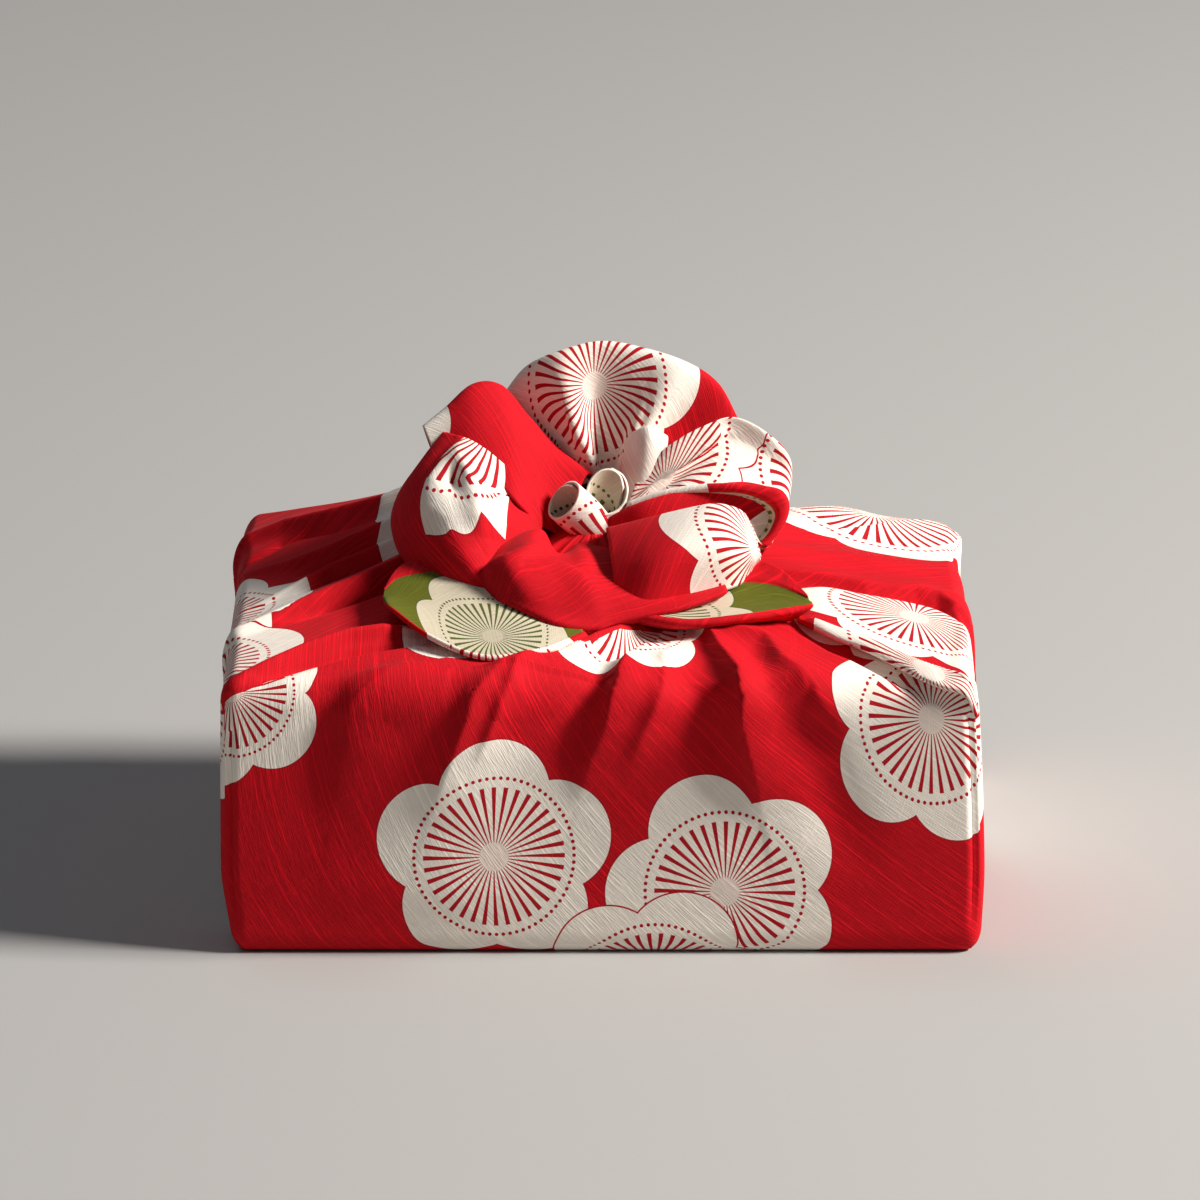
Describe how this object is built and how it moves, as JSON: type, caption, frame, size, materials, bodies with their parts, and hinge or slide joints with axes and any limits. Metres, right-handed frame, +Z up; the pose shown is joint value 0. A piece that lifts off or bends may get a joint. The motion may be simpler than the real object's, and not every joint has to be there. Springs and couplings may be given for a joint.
{
  "type": "furoshiki wrap",
  "caption": "Square cloth wrapped round a flat box and tied on top in a flower-shaped knot.",
  "frame": {"origin": "on the ground, under the middle of the wrap's box", "axes": "+Z up, the front towards -Y, the long side along X"},
  "size_m": [0.242, 0.1798, 0.171],
  "materials": {
    "printed_cotton": "matt slub cotton, red with cream blossoms, green reverse"
  },
  "bodies": {
    "root": {"furoshiki_cloth": "printed_cotton"}
  },
  "joints": []
}
